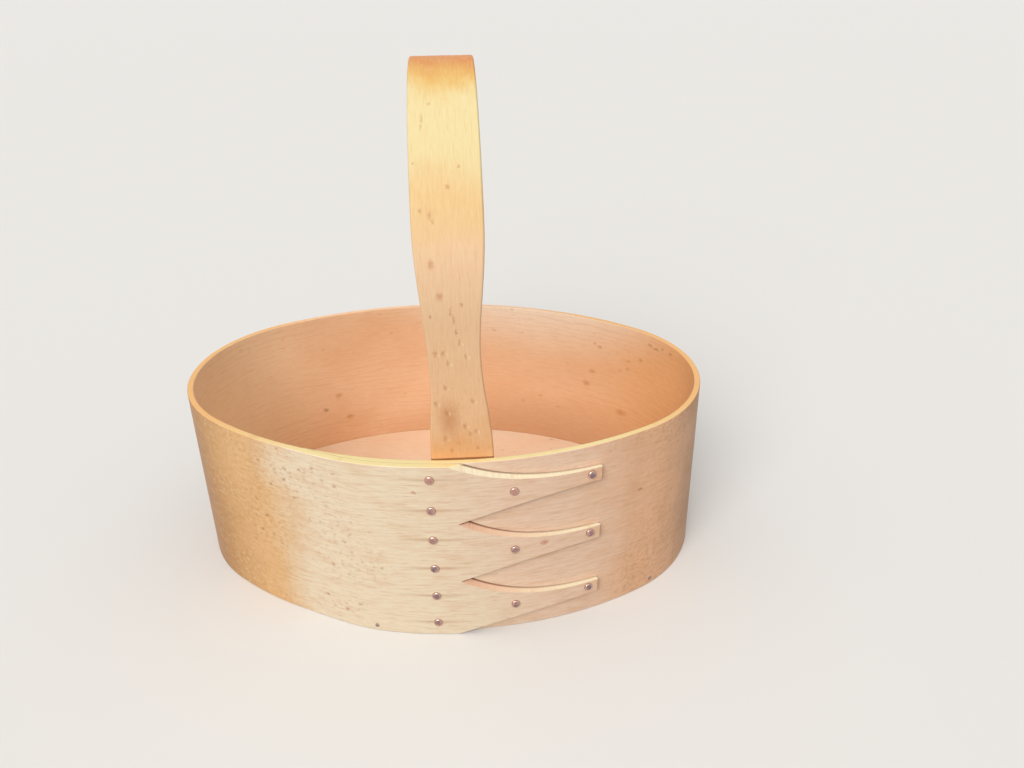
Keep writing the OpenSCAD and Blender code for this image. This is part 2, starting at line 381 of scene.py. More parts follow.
def eye_parts(tree, place, jitter, cluster, gathered):
    """The eyes and the curled wood that they lie in, as outputs from 0 to 1."""
    curl = node(tree, "Math", cluster, gathered, operation="MAXIMUM")
    # Flecks about 2 mm long and 1.5 mm across, one in each cell that draws a low number
    eyes = node(tree, "VectorMath", place, jitter, operation="ADD")
    eyes = node(tree, "Mapping", {"Vector": eyes, "Scale": cells(6.5, 4.2)})
    eyes = node(tree, "TexVoronoi", {"Vector": eyes, "Scale": 1}, out="Distance").node
    drawn = node(tree, "SeparateColor", eyes.outputs["Color"])
    drawn = node(tree, "Math", curl, drawn, operation="SUBTRACT")
    drawn = node(tree, "MapRange", drawn, 0.1, 0.45)
    spot = node(tree, "MapRange", eyes.outputs["Distance"], 0.29, 0.05, interpolation_type="SMOOTHSTEP")
    return {"curl": curl, "eye": node(tree, "Math", spot, drawn, operation="MULTIPLY")}


print("eyes ready")

# %% [markdown]
# ## The whole figure
# Where the fibres wave, the wood is curled: it has small pale crests and warm hollows. Its tone also
# changes slowly over the board. One function puts all of it together, and a shift moves it, so that
# no two pieces look as if they were sawn from the same place.

# %% figure of the maple
def maple_figure(tree, shift, gathered=(), scattered=1):
    """The parts of the figure as outputs from 0 to 1, and the place on the board that they use.

    Eyes gather round the given spots, and at random as far as they are scattered."""
    board = node(tree, "Attribute", out="Vector", attribute_name="grain")
    place = node(tree, "VectorMath", board, (shift, 0, shift), operation="ADD")
    # Marks in wood have ragged outlines
    jitter = node(tree, "TexNoise", {"Vector": place, "Scale": 1 / (1.4 * MM), "Detail": 1}, out="Color")
    jitter = node(tree, "VectorMath", jitter, (0.5, 0.5, 0.5), operation="SUBTRACT")
    jitter = node(tree, "VectorMath", jitter, (3 * MM, 0, 2 * MM), operation="MULTIPLY")
    figure = {"board": board, "ragged": node(tree, "VectorMath", board, jitter, operation="ADD")}
    figure.update(grain_parts(tree, place))
    # Eyes cluster in patches about 70 mm long and 40 mm wide
    cluster = mottle(tree, place, (70, 40))
    figure["patch"] = node(tree, "MapRange", cluster, 0.38, 0.62)
    cluster = node(tree, "MapRange", cluster, 0.4, 0.68, 0, scattered)
    figure.update(eye_parts(tree, place, jitter, cluster, blots(tree, board, gathered)))
    # Curl: small ragged crests and hollows, about 3 mm across
    figure["ripple"] = mottle(tree, place, (2.8, 2.2), 3, 0.6)
    # Soft dark bands across the grain, about 13 mm apart, and a slow change of tone
    for part, noise, begins, ends in (("band", mottle(tree, place, (13, 60), 1), 0.4, 0.72),
                                      ("tone", mottle(tree, place, (75, 55), 4, 0.6), 0.3, 0.7)):
        figure[part] = node(tree, "MapRange", noise, begins, ends, interpolation_type="SMOOTHSTEP")
    return figure


print("figure of the maple ready")

# %% [markdown]
# ## The surface of the maple
# A finish is a base colour with the figure laid over it, part by part, each with its own tint and
# strength. Painted shade darkens the corners. Old oil gives a soft sheen, and a slight relief
# follows the curl and the pores, too fine to model.

# %% surface of the maple
def laid_over(tree, shade, tints):
    """Mix tints into a shade one after another, each by its share."""
    for share, tint in tints:
        shade = node(tree, "Mix", {0: share, 6: shade, 7: colour(tint)}, out=2, data_type="RGBA")
    return shade


def tone_steps(tree, shade, place, steps):
    """Tints that take over from one another along a place, each between two places in millimetres."""
    shares = []
    for tint, begins, ends in steps:
        share = node(tree, "MapRange", place, begins * MM, ends * MM, interpolation_type="SMOOTHSTEP")
        shade = laid_over(tree, shade, [(share, tint)])
        shares.append(share)
    return shade, shares


def maple_surface(tree, figure, shade, parts, rough, relief, sheen, dust):
    """Lay parts of the figure over a base colour, each with a tint and a strength, and end in a shader."""
    for part, begins, ends in (("crest", 0.52, 0.68), ("hollow", 0.48, 0.32)):
        curl = node(tree, "MapRange", figure["ripple"], begins, ends)
        figure[part] = node(tree, "Math", curl, figure["curl"], operation="MULTIPLY")
    tints = []
    for part, tint, strength in parts:
        tints.append((node(tree, "Math", figure[part], strength, operation="MULTIPLY"), tint))
    # Painted shade: the colour is darkened within about a millimetre of a corner, where shade falls
    open_air = node(tree, "AmbientOcclusion", {"Distance": 1.3 * MM}, out="AO", only_local=True, samples=8)
    corner = node(tree, "MapRange", open_air, 0.8, 0.55, interpolation_type="SMOOTHSTEP")
    corner = node(tree, "Math", corner, figure.get("settled", 1), operation="MULTIPLY")
    shade = laid_over(tree, shade, [*tints, (corner, dust)])
    # Old finish: a soft sheen, a little rougher where the pores are open
    rough = node(tree, "MapRange", figure["fine"], 0.3, 0.75, rough - 0.06, rough + 0.1)
    # Height: curl stands up, eyes and pores lie low
    curl = node(tree, "Math", figure["curl"], 1.2, 0.1, operation="MULTIPLY_ADD")
    height = node(tree, "Math", figure["ripple"], curl, operation="MULTIPLY")
    for part, depth in (("eye", -0.9), ("fine", -0.5)):
        height = node(tree, "Math", figure[part], depth, height, operation="MULTIPLY_ADD")
    bump = node(tree, "Bump", {"Height": height, "Strength": relief, "Distance": 0.25 * MM})
    shader = node(tree, "BsdfPrincipled", {"Base Color": shade, "Roughness": rough, "Normal": bump,
                                           "IOR": 1.5, "Specular IOR Level": sheen})
    node(tree, "OutputMaterial", {"Surface": shader})


def maple(name, paint, shift, gathered=(), scattered=1, **surface):
    """A finish of maple: paint gives its base colour, and the parts of the figure that show on it."""
    finish, tree = new_finish(name)
    figure = maple_figure(tree, shift, gathered, scattered)
    shade, parts = paint(tree, figure)
    maple_surface(tree, figure, shade, parts, **surface)
    print("finish:", name)
    return finish


print("surface of the maple ready")

# %% [markdown]
# ## The band's outside
# Oiled maple that has aged in the light is creamy at the front and honey-coloured round the ends,
# where it is also the most curled. The tone is set by the place on the strip and turns with the wall.
# Part of it is painted light: the palest cream, left of the front centre, is partly a painted sheen,
# and the brown past both ends is painted shade, where the wall turns from the light.

# %% tone of the outside
def round_place(tree, figure):
    """Place round the oval, from minus half to half of the way round, place along the strip, and height."""
    board = node(tree, "SeparateXYZ", figure["board"], out="X").node
    along, high = board.outputs["X"], board.outputs["Z"]
    s = node(tree, "Math", along, round_len / 2, -round_len / 2, operation="WRAP")
    return s, along, high


def outside_tone(tree, figure, s, high):
    """Base colour of the outside. The figure's curl, bands and pale grain are fitted to it."""
    # The borders between the tones lean, and they are ragged
    border = node(tree, "Math", high, 0.12, s, operation="MULTIPLY_ADD")
    border = node(tree, "Math", figure["tone"], 20 * MM, border, operation="MULTIPLY_ADD")
    border = node(tree, "Math", figure["ripple"], 8 * MM, border, operation="MULTIPLY_ADD")
    shade = laid_over(tree, colour("#d9a464"), [(figure["tone"], "#c99252")])
    # The palest cream is partly a painted sheen, and the darkest browns past both ends are painted shade
    shade, shares = tone_steps(tree, shade, border, [
        ("#aa7747", -85, -125), ("#edbb80", -105, -70), ("#f7e3c4", -69, -38), ("#f5d1b5", 14, 79),
        ("#f9c095", 86, 148), ("#b47c4a", 152, 200)])
    # Behind, where the two ends of that row meet, they are one tone
    behind = node(tree, "Math", s, operation="ABSOLUTE")
    shade, _ = tone_steps(tree, shade, behind, [("#d3a066", 240, 330)])
    # The honey-coloured ends are the most curled, and their grain is the least pale
    honey = node(tree, "Math", 1, shares[2], operation="SUBTRACT")
    honey = node(tree, "Math", honey, shares[4], operation="MAXIMUM")
    figure["band"] = node(tree, "Math", figure["band"], honey, operation="MULTIPLY")
    creamy = node(tree, "MapRange", honey, 0, 1, 1, 0.45)
    figure["pale"] = node(tree, "Math", figure["pale"], creamy, operation="MULTIPLY")
    patch = node(tree, "Math", figure["patch"], 0.7, 0.3, operation="MULTIPLY_ADD")
    honey = node(tree, "Math", honey, patch, operation="MULTIPLY")
    # Past the ends, where the tone is darkest, the curl is slight
    dark = node(tree, "Math", shares[0], shares[5], operation="MAXIMUM")
    slight = node(tree, "MapRange", dark, 0, 1, 1, 0.35)
    honey = node(tree, "Math", honey, slight, operation="MULTIPLY")
    figure["curl"] = node(tree, "Math", figure["curl"], honey, operation="MAXIMUM")
    return shade


print("tone of the outside ready")

# %% [markdown]
# ## Marks on the outside
# Over that tone lie brown eyes, short pores and a few red flecks. Copper has drawn brown streaks along
# the grain beside the seam tacks, and painted shade darkens the valleys and the ends of the fingers.
# They are placed by the sizes of the lap, so they stay with the tacks and the fingers if those are moved.

# %% finish: aged maple, outside
def settled_dust(tree, s):
    """Strength of the painted corner shade: full, but falling to a fifth along the fingers, and full at
    their ends.
    """
    rubbed = node(tree, "MapRange", s, valley_s, tip_s, 1, 0.2)
    ends = node(tree, "MapRange", s, tip_s - 0.2 * MM, tip_s)
    return node(tree, "Math", rubbed, ends, operation="MAXIMUM")


# Millimetres along the strip to the front centre of its outer layer
front = round_len / MM


def aged(tree, figure):
    s, along, high = round_place(tree, figure)
    shade = outside_tone(tree, figure, s, high)
    # Soft warm smears along the grain, about 24 mm long and 5 mm wide
    smear = mottle(tree, figure["board"], (24, 5), 3)
    figure["smear"] = node(tree, "MapRange", smear, 0.5, 0.72)
    # Streaks beside the seam tacks, about 20 mm long to each side
    rise = node(tree, "Math", high, seam_low, operation="SUBTRACT")
    rise = node(tree, "Math", rise, seam_pitch / 2, operation="PINGPONG")
    rise = node(tree, "Math", figure["fine"], 2.4 * MM, rise, operation="MULTIPLY_ADD")
    rise = node(tree, "MapRange", rise, 2.4 * MM, 1 * MM)
    away = node(tree, "Math", along, round_len + seam_s, operation="SUBTRACT")
    away = node(tree, "Math", away, operation="ABSOLUTE")
    away = node(tree, "MapRange", away, 20 * MM, 3 * MM)
    figure["stain"] = node(tree, "Math", rise, away, operation="MULTIPLY")
    # Reddish flecks: one on the middle finger and a few small ones beside the seam
    flecks = [(front + 59, 54, 6, 4.4), (front - 3, 89, 4.5, 2), (front - 43, 10, 5, 3.4), (114, 68, 5, 2.4)]
    figure["fleck"] = blots(tree, figure["ragged"], flecks)
    figure["settled"] = settled_dust(tree, s)
    # Painted shade on the eased end of each finger: its last half millimetre is darkened brown
    figure["end"] = node(tree, "MapRange", along, round_len + tip_s - 0.5 * MM, round_len + tip_s - 0.3 * MM)
    return shade, [
        ("warm", "#dfa66a", 0.36), ("pale", "#fcf0d6", 0.35), ("line", "#cf9660", 0.14),
        ("smear", "#dba672", 0.3), ("band", "#bd8148", 0.14), ("hollow", "#b4763c", 0.36),
        ("crest", "#f8dcb0", 0.4), ("pore", "#c88c58", 0.35), ("stain", "#b98a56", 0.55),
        ("eye", "#b06832", 0.6), ("fleck", "#c47a50", 0.8), ("end", "#a06a44", 0.7)]


gathered = [(front - 70, 88, 110, 56), (front - 90, 52, 80, 60), (front - 45, 62, 70, 44),
            (front - 38, 42, 70, 50), (front - 48, 12, 60, 30)]
outside_maple = maple("maple, aged and hand-rubbed", aged, 0, gathered, 0.3, rough=0.44, relief=0.18,
                      sheen=0.45, dust="#6e4229")

# %% [markdown]
# ## The band's inside
# The inside face of the same strip, with a finish of its own. Its pinker colour is painted light, for
# the warm light that bounces round inside the box. A pattern would scatter its few brown smudges and
# small knots anywhere, so they are given one by one.

# %% finish: oiled maple, inside
def oiled(tree, figure):
    tints = [(figure["tone"], "#e9b88c")]
    # Broad changes of tone: orange at the right end; paler at the left end and high up behind, as painted
    # light; darker low behind, as painted shade
    for tint, spot in (("#e6b07a", (215, 60, 190, 320)), ("#ffe6bf", (575, 60, 220, 320)),
                       ("#fdeed6", (332, 122, 260, 116)), ("#d0a078", (330, 0, 280, 100))):
        tints.append((blots(tree, figure["board"], [spot], 0.2), tint))
    shade = laid_over(tree, colour("#f0c7a0"), tints)
    smudges = [(266, 41, 12, 7), (293, 56, 9, 7), (289, 66, 7, 5), (253, 84, 5, 4), (284, 85, 5, 4),
               (471, 44, 8, 6), (465, 26, 9, 6)]
    figure["smudge"] = blots(tree, figure["ragged"], smudges)
    knots = [(481, 35, 5, 5), (235, 98, 3, 3), (246, 97, 6, 2.4), (241, 96, 8, 2.4), (227, 98, 6, 2)]
    figure["knot"] = blots(tree, figure["ragged"], knots)
    return shade, [
        ("warm", "#dc9f6e", 0.25), ("pale", "#fbdcb8", 0.2), ("line", "#c98450", 0.14),
        ("hollow", "#d2905e", 0.15), ("pore", "#c88a58", 0.2), ("eye", "#b9743f", 0.45),
        ("smudge", "#c06c2a", 0.5), ("knot", "#8f5c3c", 0.6)]


inside_maple = maple("maple, oiled inside face", oiled, 1.37, scattered=0.7, rough=0.5, relief=0.25,
                     sheen=0.45, dust="#8a5636")

# %% [markdown]
# ## Cut edges
# The rim and the bevels of the fingers are cut with a knife across and along the grain. They are
# the brightest wood on the box, with fine marks of the knife and painted shade at their feet.
# In the colour of the outside they would be lost against it, so they have a finish of their own.

# %% finish: knife-cut maple, edges
def knife_cut(tree, figure):
    s, _, high = round_place(tree, figure)
    # The bevels of the two lower fingers are pinker near the valley points
    pink = node(tree, "MapRange", s, valley_s + 56 * MM, valley_s + 8 * MM)
    low = node(tree, "MapRange", high, wall_h - 10 * MM, wall_h - 18 * MM)
    pink = node(tree, "Math", pink, low, operation="MULTIPLY")
    bevel = laid_over(tree, colour("#f3e7c5"), [(pink, "#edc0a2")])
    # The rim is pale yellow at the front, most of all right of its centre, and orange round the ends
    behind = node(tree, "Math", s, 18 * MM, operation="SUBTRACT")
    behind = node(tree, "Math", behind, operation="ABSOLUTE")
    rim, _ = tone_steps(tree, colour("#f6e1a2"), behind, [("#f3bb78", 60, 155), ("#f8cba0", 270, 320)])
    top = node(tree, "MapRange", high, wall_h - 2 * rim_ease, wall_h)
    shade = node(tree, "Mix", {0: top, 6: bevel, 7: rim}, out=2, data_type="RGBA")
    # Marks of the knife on the bevels, square to the grain and about a millimetre apart
    marks = mottle(tree, figure["board"], (0.9, 30))
    marks = node(tree, "MapRange", marks, 0.42, 0.68)
    sides = node(tree, "Math", 1, top, operation="SUBTRACT")
    figure["settled"] = node(tree, "Math", settled_dust(tree, s), sides, operation="MULTIPLY")
    figure["knife"] = node(tree, "Math", marks, figure["settled"], operation="MULTIPLY")
    # Painted shade: the foot of each bevel is darkened where it meets the layer below, most of all in the
    # valleys
    deep = node(tree, "SeparateXYZ", figure["board"], out="Y")
    deep = node(tree, "MapRange", deep, -lap_lift - 0.9 * MM, -lap_lift - 0.4 * MM)
    figure["gap"] = node(tree, "Math", deep, figure["settled"], operation="MULTIPLY")
    return shade, [("pore", "#cf9c62", 0.25), ("knife", "#d99f68", 0.3), ("gap", "#7d4528", 0.95)]


edge_maple = maple("maple, knife-cut edge", knife_cut, 2.91, rough=0.55, relief=0.3, sheen=0.4,
                   dust="#7f4f32")

# %% [markdown]
# ## The board
# A planed board from another plank, paler and plainer than the band. It could share the finish of
# the band's inside, but then the line where they meet would be lost.

# %% finish: planed maple, board
def planed_flat(tree, figure):
    shade = laid_over(tree, colour("#f6dec2"), [(figure["tone"], "#f1cfac")])
    return shade, [("warm", "#e6b58a", 0.2), ("line", "#dcaa7c", 0.12), ("pore", "#cd9868", 0.22),
                   ("eye", "#a06a42", 0.35)]


floor_maple = maple("maple, planed board", planed_flat, 4.23, rough=0.55, relief=0.2, sheen=0.4,
                    dust="#8a5c3c")

# %% [markdown]
# ## The handle
# Maple rubbed by hands. Its tone is partly painted: pale gold on the front shoulder is painted light,
# and deep orange at the top of the hoop is painted shade. It has the strongest eyes, low on its front
# leg. They are given one by one, and beside each a painted highlight stands for the shine of its dimple.

# %% finish: handled maple, handle
def handled(tree, figure):
    board = node(tree, "SeparateXYZ", figure["board"], out="X").node
    # From the front foot up: warm and pinkish, then pale gold on the front shoulder as painted light,
    # deep orange at the top of the hoop as painted shade, and down to a warm back foot
    from_top = node(tree, "Math", board.outputs["X"], handle_len / 2, operation="SUBTRACT")
    rim_line = node(tree, "Math", from_top, operation="ABSOLUTE")
    uneven = node(tree, "Math", 0.5, figure["tone"], operation="SUBTRACT")
    from_top = node(tree, "Math", uneven, 20 * MM, from_top, operation="MULTIPLY_ADD")
    shade = laid_over(tree, colour("#f3b77e"), [(figure["tone"], "#edae74")])
    shade, _ = tone_steps(tree, shade, from_top, [
        ("#f6c494", -222, -200), ("#f4cba0", -195, -150), ("#ebc487", -135, -105), ("#ead79e", -104, -66),
        ("#e5b760", -51, -29), ("#dc882e", -36, -7), ("#e8ae68", 8, 50), ("#f0c492", 60, 130),
        ("#efb47e", 170, 220)])
    shade = laid_over(tree, shade, [(blots(tree, figure["ragged"], [(118, 5, 30, 16)]), "#dd9f70")])
    flecks = [(269, 6, 3.4, 2.4), (260, 9.5, 8, 1.8), (255, 10, 5, 1.6), (237, 13.5, 3, 2), (235, -6, 3, 2),
              (226, -0.5, 3.6, 2.8), (214, 7.5, 6, 2.6), (216, 11.5, 3.6, 2.4), (211, 6.5, 4, 2.4),
              (193, 8, 7, 4), (179, 5, 6, 5), (175, -4.5, 4, 2), (172, 0.5, 7, 1.8), (168, -0.7, 7, 1.8),
              (170, 9.5, 3.6, 2), (162, -1.5, 4.5, 2.2), (157, -2.5, 5.5, 1.8), (152, 8.5, 5, 3),
              (152, 5, 5, 2.6), (147, 3, 3.6, 2.4), (150, -5, 4, 2), (135, 5.5, 5, 2.6), (127, 10.5, 5, 2.4),
              (122, 6, 5, 3), (127, -6.5, 4, 2.4), (114, -2, 5, 3), (111, -7, 4, 2.4), (108, 7.5, 5, 3)]
    figure["fleck"] = blots(tree, figure["ragged"], flecks)
    # Painted shadow: a dark line where the outside of a leg goes down past the rim into the box
    to_rim = handle_len / 2 - wall_h + leg_foot
    rim_line = node(tree, "Math", rim_line, to_rim, 0.6 * MM, operation="COMPARE")
    outer = node(tree, "Math", board.outputs["Y"], -handle_t / 2, operation="GREATER_THAN")
    figure["seat"] = node(tree, "Math", rim_line, outer, operation="MULTIPLY")
    # Painted highlight: a pale spot on the right of each fleck low on the leg, for the shine of its hollow
    glint_spots = [(x - 0.8, across - 1.6, 3, 1.8) for x, across, _, _ in flecks if x < 160]
    figure["glint"] = blots(tree, figure["ragged"], glint_spots)
    return shade, [
        ("warm", "#e0a468", 0.16), ("pale", "#fde6c0", 0.2), ("line", "#d99c68", 0.06),
        ("hollow", "#d0945e", 0.2), ("pore", "#cf8e5a", 0.2), ("glint", "#ffe6c2", 0.5),
        ("eye", "#b8703f", 0.4), ("fleck", "#c0744a", 0.5), ("seat", "#8a5430", 0.75)]


feet = [(110, 2, 110, 60), (handle_len / MM - 90, 0, 120, 120)]
hoop_maple = maple("maple, handled and rubbed", handled, 5.71, feet, 0.5, rough=0.42, relief=0.4, sheen=0.3,
                   dust="#8a5636")

# %% [markdown]
# ## Copper and iron
# The tacks are cut copper, hammered home. Handling keeps the crown of each head bright, and the
# rest has gone brown and plum-grey. One colour for all would look new, so a slow pattern over the
# whole box ages each head differently. The small pins in the board are iron, gone dull and grey.

# %% finishes: metal
def old_copper():
    finish, tree = new_finish("copper, hammered and patinated")
    place = node(tree, "TexCoord", out="Object")
    stands = node(tree, "Attribute", out="Vector", attribute_name="grain")
    stands = node(tree, "SeparateXYZ", stands, out="Z")
    # One head has stayed pink and another has gone plum-grey
    age = node(tree, "TexNoise", {"Vector": place, "Scale": 1 / (18 * MM), "Detail": 1})
    age = node(tree, "MapRange", age, 0.4, 0.55)
    # The struck edge of the crown is worn bright, and brown oxide stays round the foot of the head
    patch = node(tree, "TexNoise", {"Vector": place, "Scale": 1 / (1 * MM), "Detail": 3})
    stands = node(tree, "Math", patch, 0.5 * MM, stands, operation="MULTIPLY_ADD")
    edge = node(tree, "MapRange", stands, 1.4 * MM, 1.15 * MM)
    foot = node(tree, "MapRange", stands, 0.8 * MM, 0.45 * MM)
    shade = laid_over(tree, colour("#c49188"), [(age, "#8b7682"), (edge, "#cda89a"), (foot, "#896a60")])
    rough = node(tree, "MapRange", edge, 0, 1, 0.4, 0.2)
    dents = node(tree, "TexNoise", {"Vector": place, "Scale": 1 / (0.8 * MM), "Detail": 1})
    bump = node(tree, "Bump", {"Height": dents, "Strength": 0.4, "Distance": 0.06 * MM})
    shader = node(tree, "BsdfPrincipled", {"Base Color": shade, "Metallic": 1, "Roughness": rough,
                                           "Normal": bump})
    node(tree, "OutputMaterial", {"Surface": shader})
    return finish


def dull_iron():
    finish, tree = new_finish("iron, dull with age")
    place = node(tree, "TexCoord", out="Object")
    rust = node(tree, "TexNoise", {"Vector": place, "Scale": 1 / (1.2 * MM), "Detail": 3})
    rust = node(tree, "MapRange", rust, 0.4, 0.65)
    shade = laid_over(tree, colour("#b5a79c"), [(rust, "#8f766a")])
    rough = node(tree, "MapRange", rust, 0, 1, 0.45, 0.8)
    shader = node(tree, "BsdfPrincipled", {"Base Color": shade, "Metallic": 1, "Roughness": rough})
    node(tree, "OutputMaterial", {"Surface": shader})
    return finish


copper = old_copper()
iron = dull_iron()
print(f"finishes: {copper.name}; {iron.name}")

# %% [markdown]
# ## Bench helpers
# Each strip starts as a bar: a cube scaled to size, its long edges eased with a bevel and its
# length cut across by subdividing, so that there are enough slices to bend. Edges are picked by code,
# because an operator acts on whatever is selected.

# %% bench helpers
def work_on(piece):
    """Make one piece the only selected and active one."""
    bpy.ops.object.select_all(action="DESELECT")
    piece.select_set(True)
    bpy.context.view_layer.objects.active = piece


def newest(name):
    """The piece that an operator has just made, with its name."""
    piece = bpy.context.object
    piece.name = piece.data.name = name
    return piece


def pick_edges(piece, test):
    """In edit mode, select the edges that pass a test."""
    bpy.ops.mesh.select_mode(type="EDGE")
    bpy.ops.mesh.select_all(action="DESELECT")
    mesh = bmesh.from_edit_mesh(piece.data)
    for edge in mesh.edges:
        if test(edge):
            edge.select_set(True)
    bmesh.update_edit_mesh(piece.data)


# Share of an edge's length that has to lie along X
nearly = 0.99


def runs_lengthwise(edge):
    run = edge.verts[1].co - edge.verts[0].co
    return abs(run.x) > nearly * run.length


def bar(name, low, high, cuts, eased=0):
    """A bar along X between two corners, with eased long edges, sliced (cuts + 1) squared times."""
    low, high = Vector(low), Vector(high)
    bpy.ops.mesh.primitive_cube_add(size=1, location=(low + high) / 2)
    piece = newest(name)
    piece.scale = high - low
    bpy.ops.object.transform_apply(location=True, rotation=True, scale=True)
    bpy.ops.object.mode_set(mode="EDIT")
    if eased:
        pick_edges(piece, runs_lengthwise)
        bpy.ops.mesh.bevel(offset=eased, segments=3, affect="EDGES")
    for _ in range(2):
        pick_edges(piece, runs_lengthwise)
        bpy.ops.mesh.subdivide(number_cuts=cuts)
    bpy.ops.object.mode_set(mode="OBJECT")
    return piece


def modify(piece, kind, **settings):
    """Add a modifier to a piece, set it and apply it."""
    work_on(piece)
    bpy.ops.object.modifier_add(type=kind)
    made = piece.modifiers[-1]
    for name, value in settings.items():
        setattr(made, name, value)
    bpy.ops.object.modifier_apply(modifier=made.name)


def shape(piece, rule):
    """Move every corner of a piece by a rule."""
    for corner in piece.data.vertices:
        corner.co = rule(corner.co)
    piece.data.update()


print("bench helpers ready")

# %% [markdown]
# ## The side band, flat
# The band is laid out flat with its outside towards the front, so s is X, the thickness is -Y and
# the height is Z. One end is planed to a feather, and the end that will lap is set off by the
# thickness of the layer that it will lie on.

# %% the flat band
band_cuts = 23
band = bar("band_bentwood", (strip_start, -band_t, 0), (strip_end, 0, wall_h), band_cuts, rim_ease)
# A long edge keeps this share of its easing inside the lap, where the joint is close
close_joint = 0.12
joint_fade = 12 * MM


def joint_ease(co):
    """How much of its easing a long edge keeps: little where it faces the other layer of the lap."""
    faces_in = co.y > -band_t / 2
    s = co.x - round_len if faces_in else co.x
    into_lap = min((s - lap_from) / joint_fade, (valley_s - s) / joint_fade)
    return mix(1, close_joint, ease(into_lap))


def planed(co):
    """Where a corner of the plain bar goes on the planed band."""
    kept = joint_ease(co)
    side = 0 if co.y > -band_t / 2 else -band_t
    end = 0 if co.z < wall_h / 2 else wall_h
    if abs(co.y - side) <= rim_ease + rounding and abs(co.z - end) <= rim_ease + rounding:
        co = Vector((co.x, mix(side, co.y, kept), mix(end, co.z, kept)))
    d = -co.y
    if co.x < lap_from + feather_len:
        d *= (lift(co.x) - lap_gap) / band_t
    if co.x > lap_from + round_len:
        s = co.x - round_len
        d = d * layer_t(s) / band_t + lift(s)
    return Vector((co.x, -d, co.z))


shape(band, planed)
print(f"flat band: {len(band.data.polygons)} faces")

# %% [markdown]
# ## The swallowtail fingers
# The fingers are what the maker is judged by: long curved points, bevelled on both edges, so that
# the cut runs out to nothing at the valleys. Each valley is cut with a wedge whose two walls
# slope in, and slope less and less towards the tips. The wedges are bars shaped slice by slice, and
# a Boolean takes them out of the flat band, as a knife would.

# %% cut the fingers
# How far a bevel runs in at the valley, on a finger's upper edge and on its lower one
bevel_up = 2.8 * MM
bevel_down = 2.2 * MM
# A wedge stands out of the wood by this much, and its root is this wide
over = 1 * MM
groove = 0.1 * MM
# Where a wedge ends and, at the rims, begins, in finger lengths from the valley point
run_out = 1.04
edge_run_in = -0.1
# Slices crowd towards the valley point, where the edge is the most curved
crowding = 1.3
wedge_cuts = 6
square_cut = 0.001 * MM
lap_face = band_t + lap_lift


def wedge_corner(i, co):
    """Where a corner of wedge i goes: X is its place along, -Y is outside and +Z above."""
    run_in = edge_run_in if i in (0, finger_n) else 0
    u = mix(run_in, run_out, co.x ** crowding)
    low = -over if i == 0 else upper_edge(i - 1, u)
    high = wall_h + over if i == finger_n else lower_edge(i, u)
    middle = (low + high) / 2
    half = max(groove, high - low) / 2
    slope_low = 0 if i == 0 else bevel_up * clamp(1 - u)
    slope_high = 0 if i == finger_n else bevel_down * clamp(1 - u)
    deep = clamp((2 * half - groove) / max(slope_low + slope_high, square_cut))
    # Outside the face the walls run on at the same slope
    way_in = -over / band_t if co.y < 0 else deep
    d = lap_face + over if co.y < 0 else lap_face - deep * (band_t + lap_gap / 2)
    z = middle + half - slope_high * way_in if co.z > 0 else middle - half + slope_low * way_in
    return Vector((round_len + valley_s + u * finger_len, -d, z))


for valley in range(finger_n + 1):
    wedge = bar("wedge", (0, -1, -1), (1, 1, 1), wedge_cuts)
    shape(wedge, lambda co: wedge_corner(valley, co))
    modify(band, "BOOLEAN", operation="DIFFERENCE", solver="EXACT", object=wedge)
    bpy.data.objects.remove(wedge)
print(f"band with fingers: {len(band.data.polygons)} faces")

# %% [markdown]
# ## Bending the band
# Faces are told apart while they are flat: outside, inside or cut edge. Then the places on the flat
# board are kept for the grain, and the band is bent round the oval with a Curve modifier.

# %% bending helpers
def keep_grain(piece, laid):
    """Store each corner's place on the flat board: along the grain, through it, across it."""
    grain = piece.data.attributes.new("grain", "FLOAT_VECTOR", "POINT")
    for corner, kept in zip(piece.data.vertices, grain.data):
        kept.vector = laid(corner.co)


def bend(piece, line, twists):
    """Bend a straight piece: a Curve modifier lays its X along the line of a form."""
    curve = bpy.data.curves.new("form", "CURVE")
    curve.dimensions = "3D"
    spline = curve.splines.new("POLY")
    spline.points.add(len(line) - 1)
    for point, at, twist in zip(spline.points, line, twists):
        point.co = (*at, 1)
        point.tilt = twist
    form = bpy.data.objects.new("form", curve)
    bpy.context.collection.objects.link(form)
    modify(piece, "CURVE", object=form)
    bpy.data.curves.remove(curve)


# Edges sharper than this stay sharp
crease = math.radians(38)


def smooth(piece):
    """Smooth shading over curves and eased edges that keeps the wide faces true."""
    work_on(piece)
    bpy.ops.object.shade_smooth_by_angle(angle=crease)
    modify(piece, "WEIGHTED_NORMAL", keep_sharp=True)


def hand_over(piece, node_name):
    """The piece rides on the root body and stands in for a solid, which is hidden."""
    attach(piece, "root")
    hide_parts(node_name)
    print(f"{piece.name}: {len(piece.data.polygons)} faces")


print("bending helpers ready")

# %% bend the band
# A face whose normal has this share along Y is outside or inside, and the others are cut edges
facing = 0.7
for finish in (outside_maple, inside_maple, edge_maple):
    band.data.materials.append(finish)
for face in band.data.polygons:
    face.material_index = 0 if face.normal.y < -facing else 1 if face.normal.y > facing else 2
keep_grain(band, lambda co: co)
shape(band, lambda co: co - Vector((strip_start, 0, 0)))
form_step = 1 * MM
form_n = math.ceil((strip_end - strip_start) / form_step)
oval_line = [on_wall(mix(strip_start, strip_end, i / form_n), 0) for i in range(form_n + 1)]
bend(band, oval_line, [0] * len(oval_line))
smooth(band)
hand_over(band, "side_band")

# %% [markdown]
# ## The bottom board
# An oval board let into the band. It starts as a filled circle, is pushed out to the oval by code,
# extruded to its thickness, and its two arrises are eased with a bevel.

